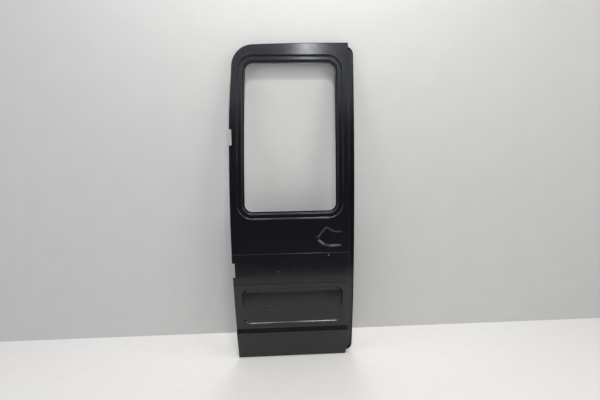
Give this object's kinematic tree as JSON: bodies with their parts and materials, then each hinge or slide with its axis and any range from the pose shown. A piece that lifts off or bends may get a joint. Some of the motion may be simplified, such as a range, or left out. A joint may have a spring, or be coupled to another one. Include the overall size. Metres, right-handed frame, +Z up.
{
  "type": "van rear barn door leaf",
  "caption": "Bare pressed-steel rear barn door leaf of a high-roof camper van, with a window opening, hinge pads and a lapping seal flange.",
  "frame": {"origin": "on the lower hinge face, midway between its two bolt holes", "axes": "+X runs from the hinge edge to the lapping edge, +Y points into the van, -Y is the outside, +Z is up the door"},
  "size_m": [0.703, 0.1234, 1.82],
  "materials": {
    "primed_steel": "semi-gloss black electro-coat primer"
  },
  "bodies": {
    "root": {"outer_skin": "primed_steel", "inner_header": "primed_steel", "hinge_pillar": "primed_steel", "lock_pillar": "primed_steel", "waist_rail": "primed_steel", "hinge_stile_upper": "primed_steel", "centre_post_upper": "primed_steel", "lock_stile_upper": "primed_steel", "mid_rail": "primed_steel", "hinge_stile_lower": "primed_steel", "centre_post_lower": "primed_steel", "lock_stile_lower": "primed_steel", "bottom_rail": "primed_steel", "lapping_flange": "primed_steel", "upper_hinge_pad": "primed_steel", "lower_hinge_pad": "primed_steel", "upper_hinge_nuts": "primed_steel", "lower_hinge_nuts": "primed_steel", "waist_beam": "primed_steel", "lower_beam": "primed_steel"}
  },
  "joints": []
}
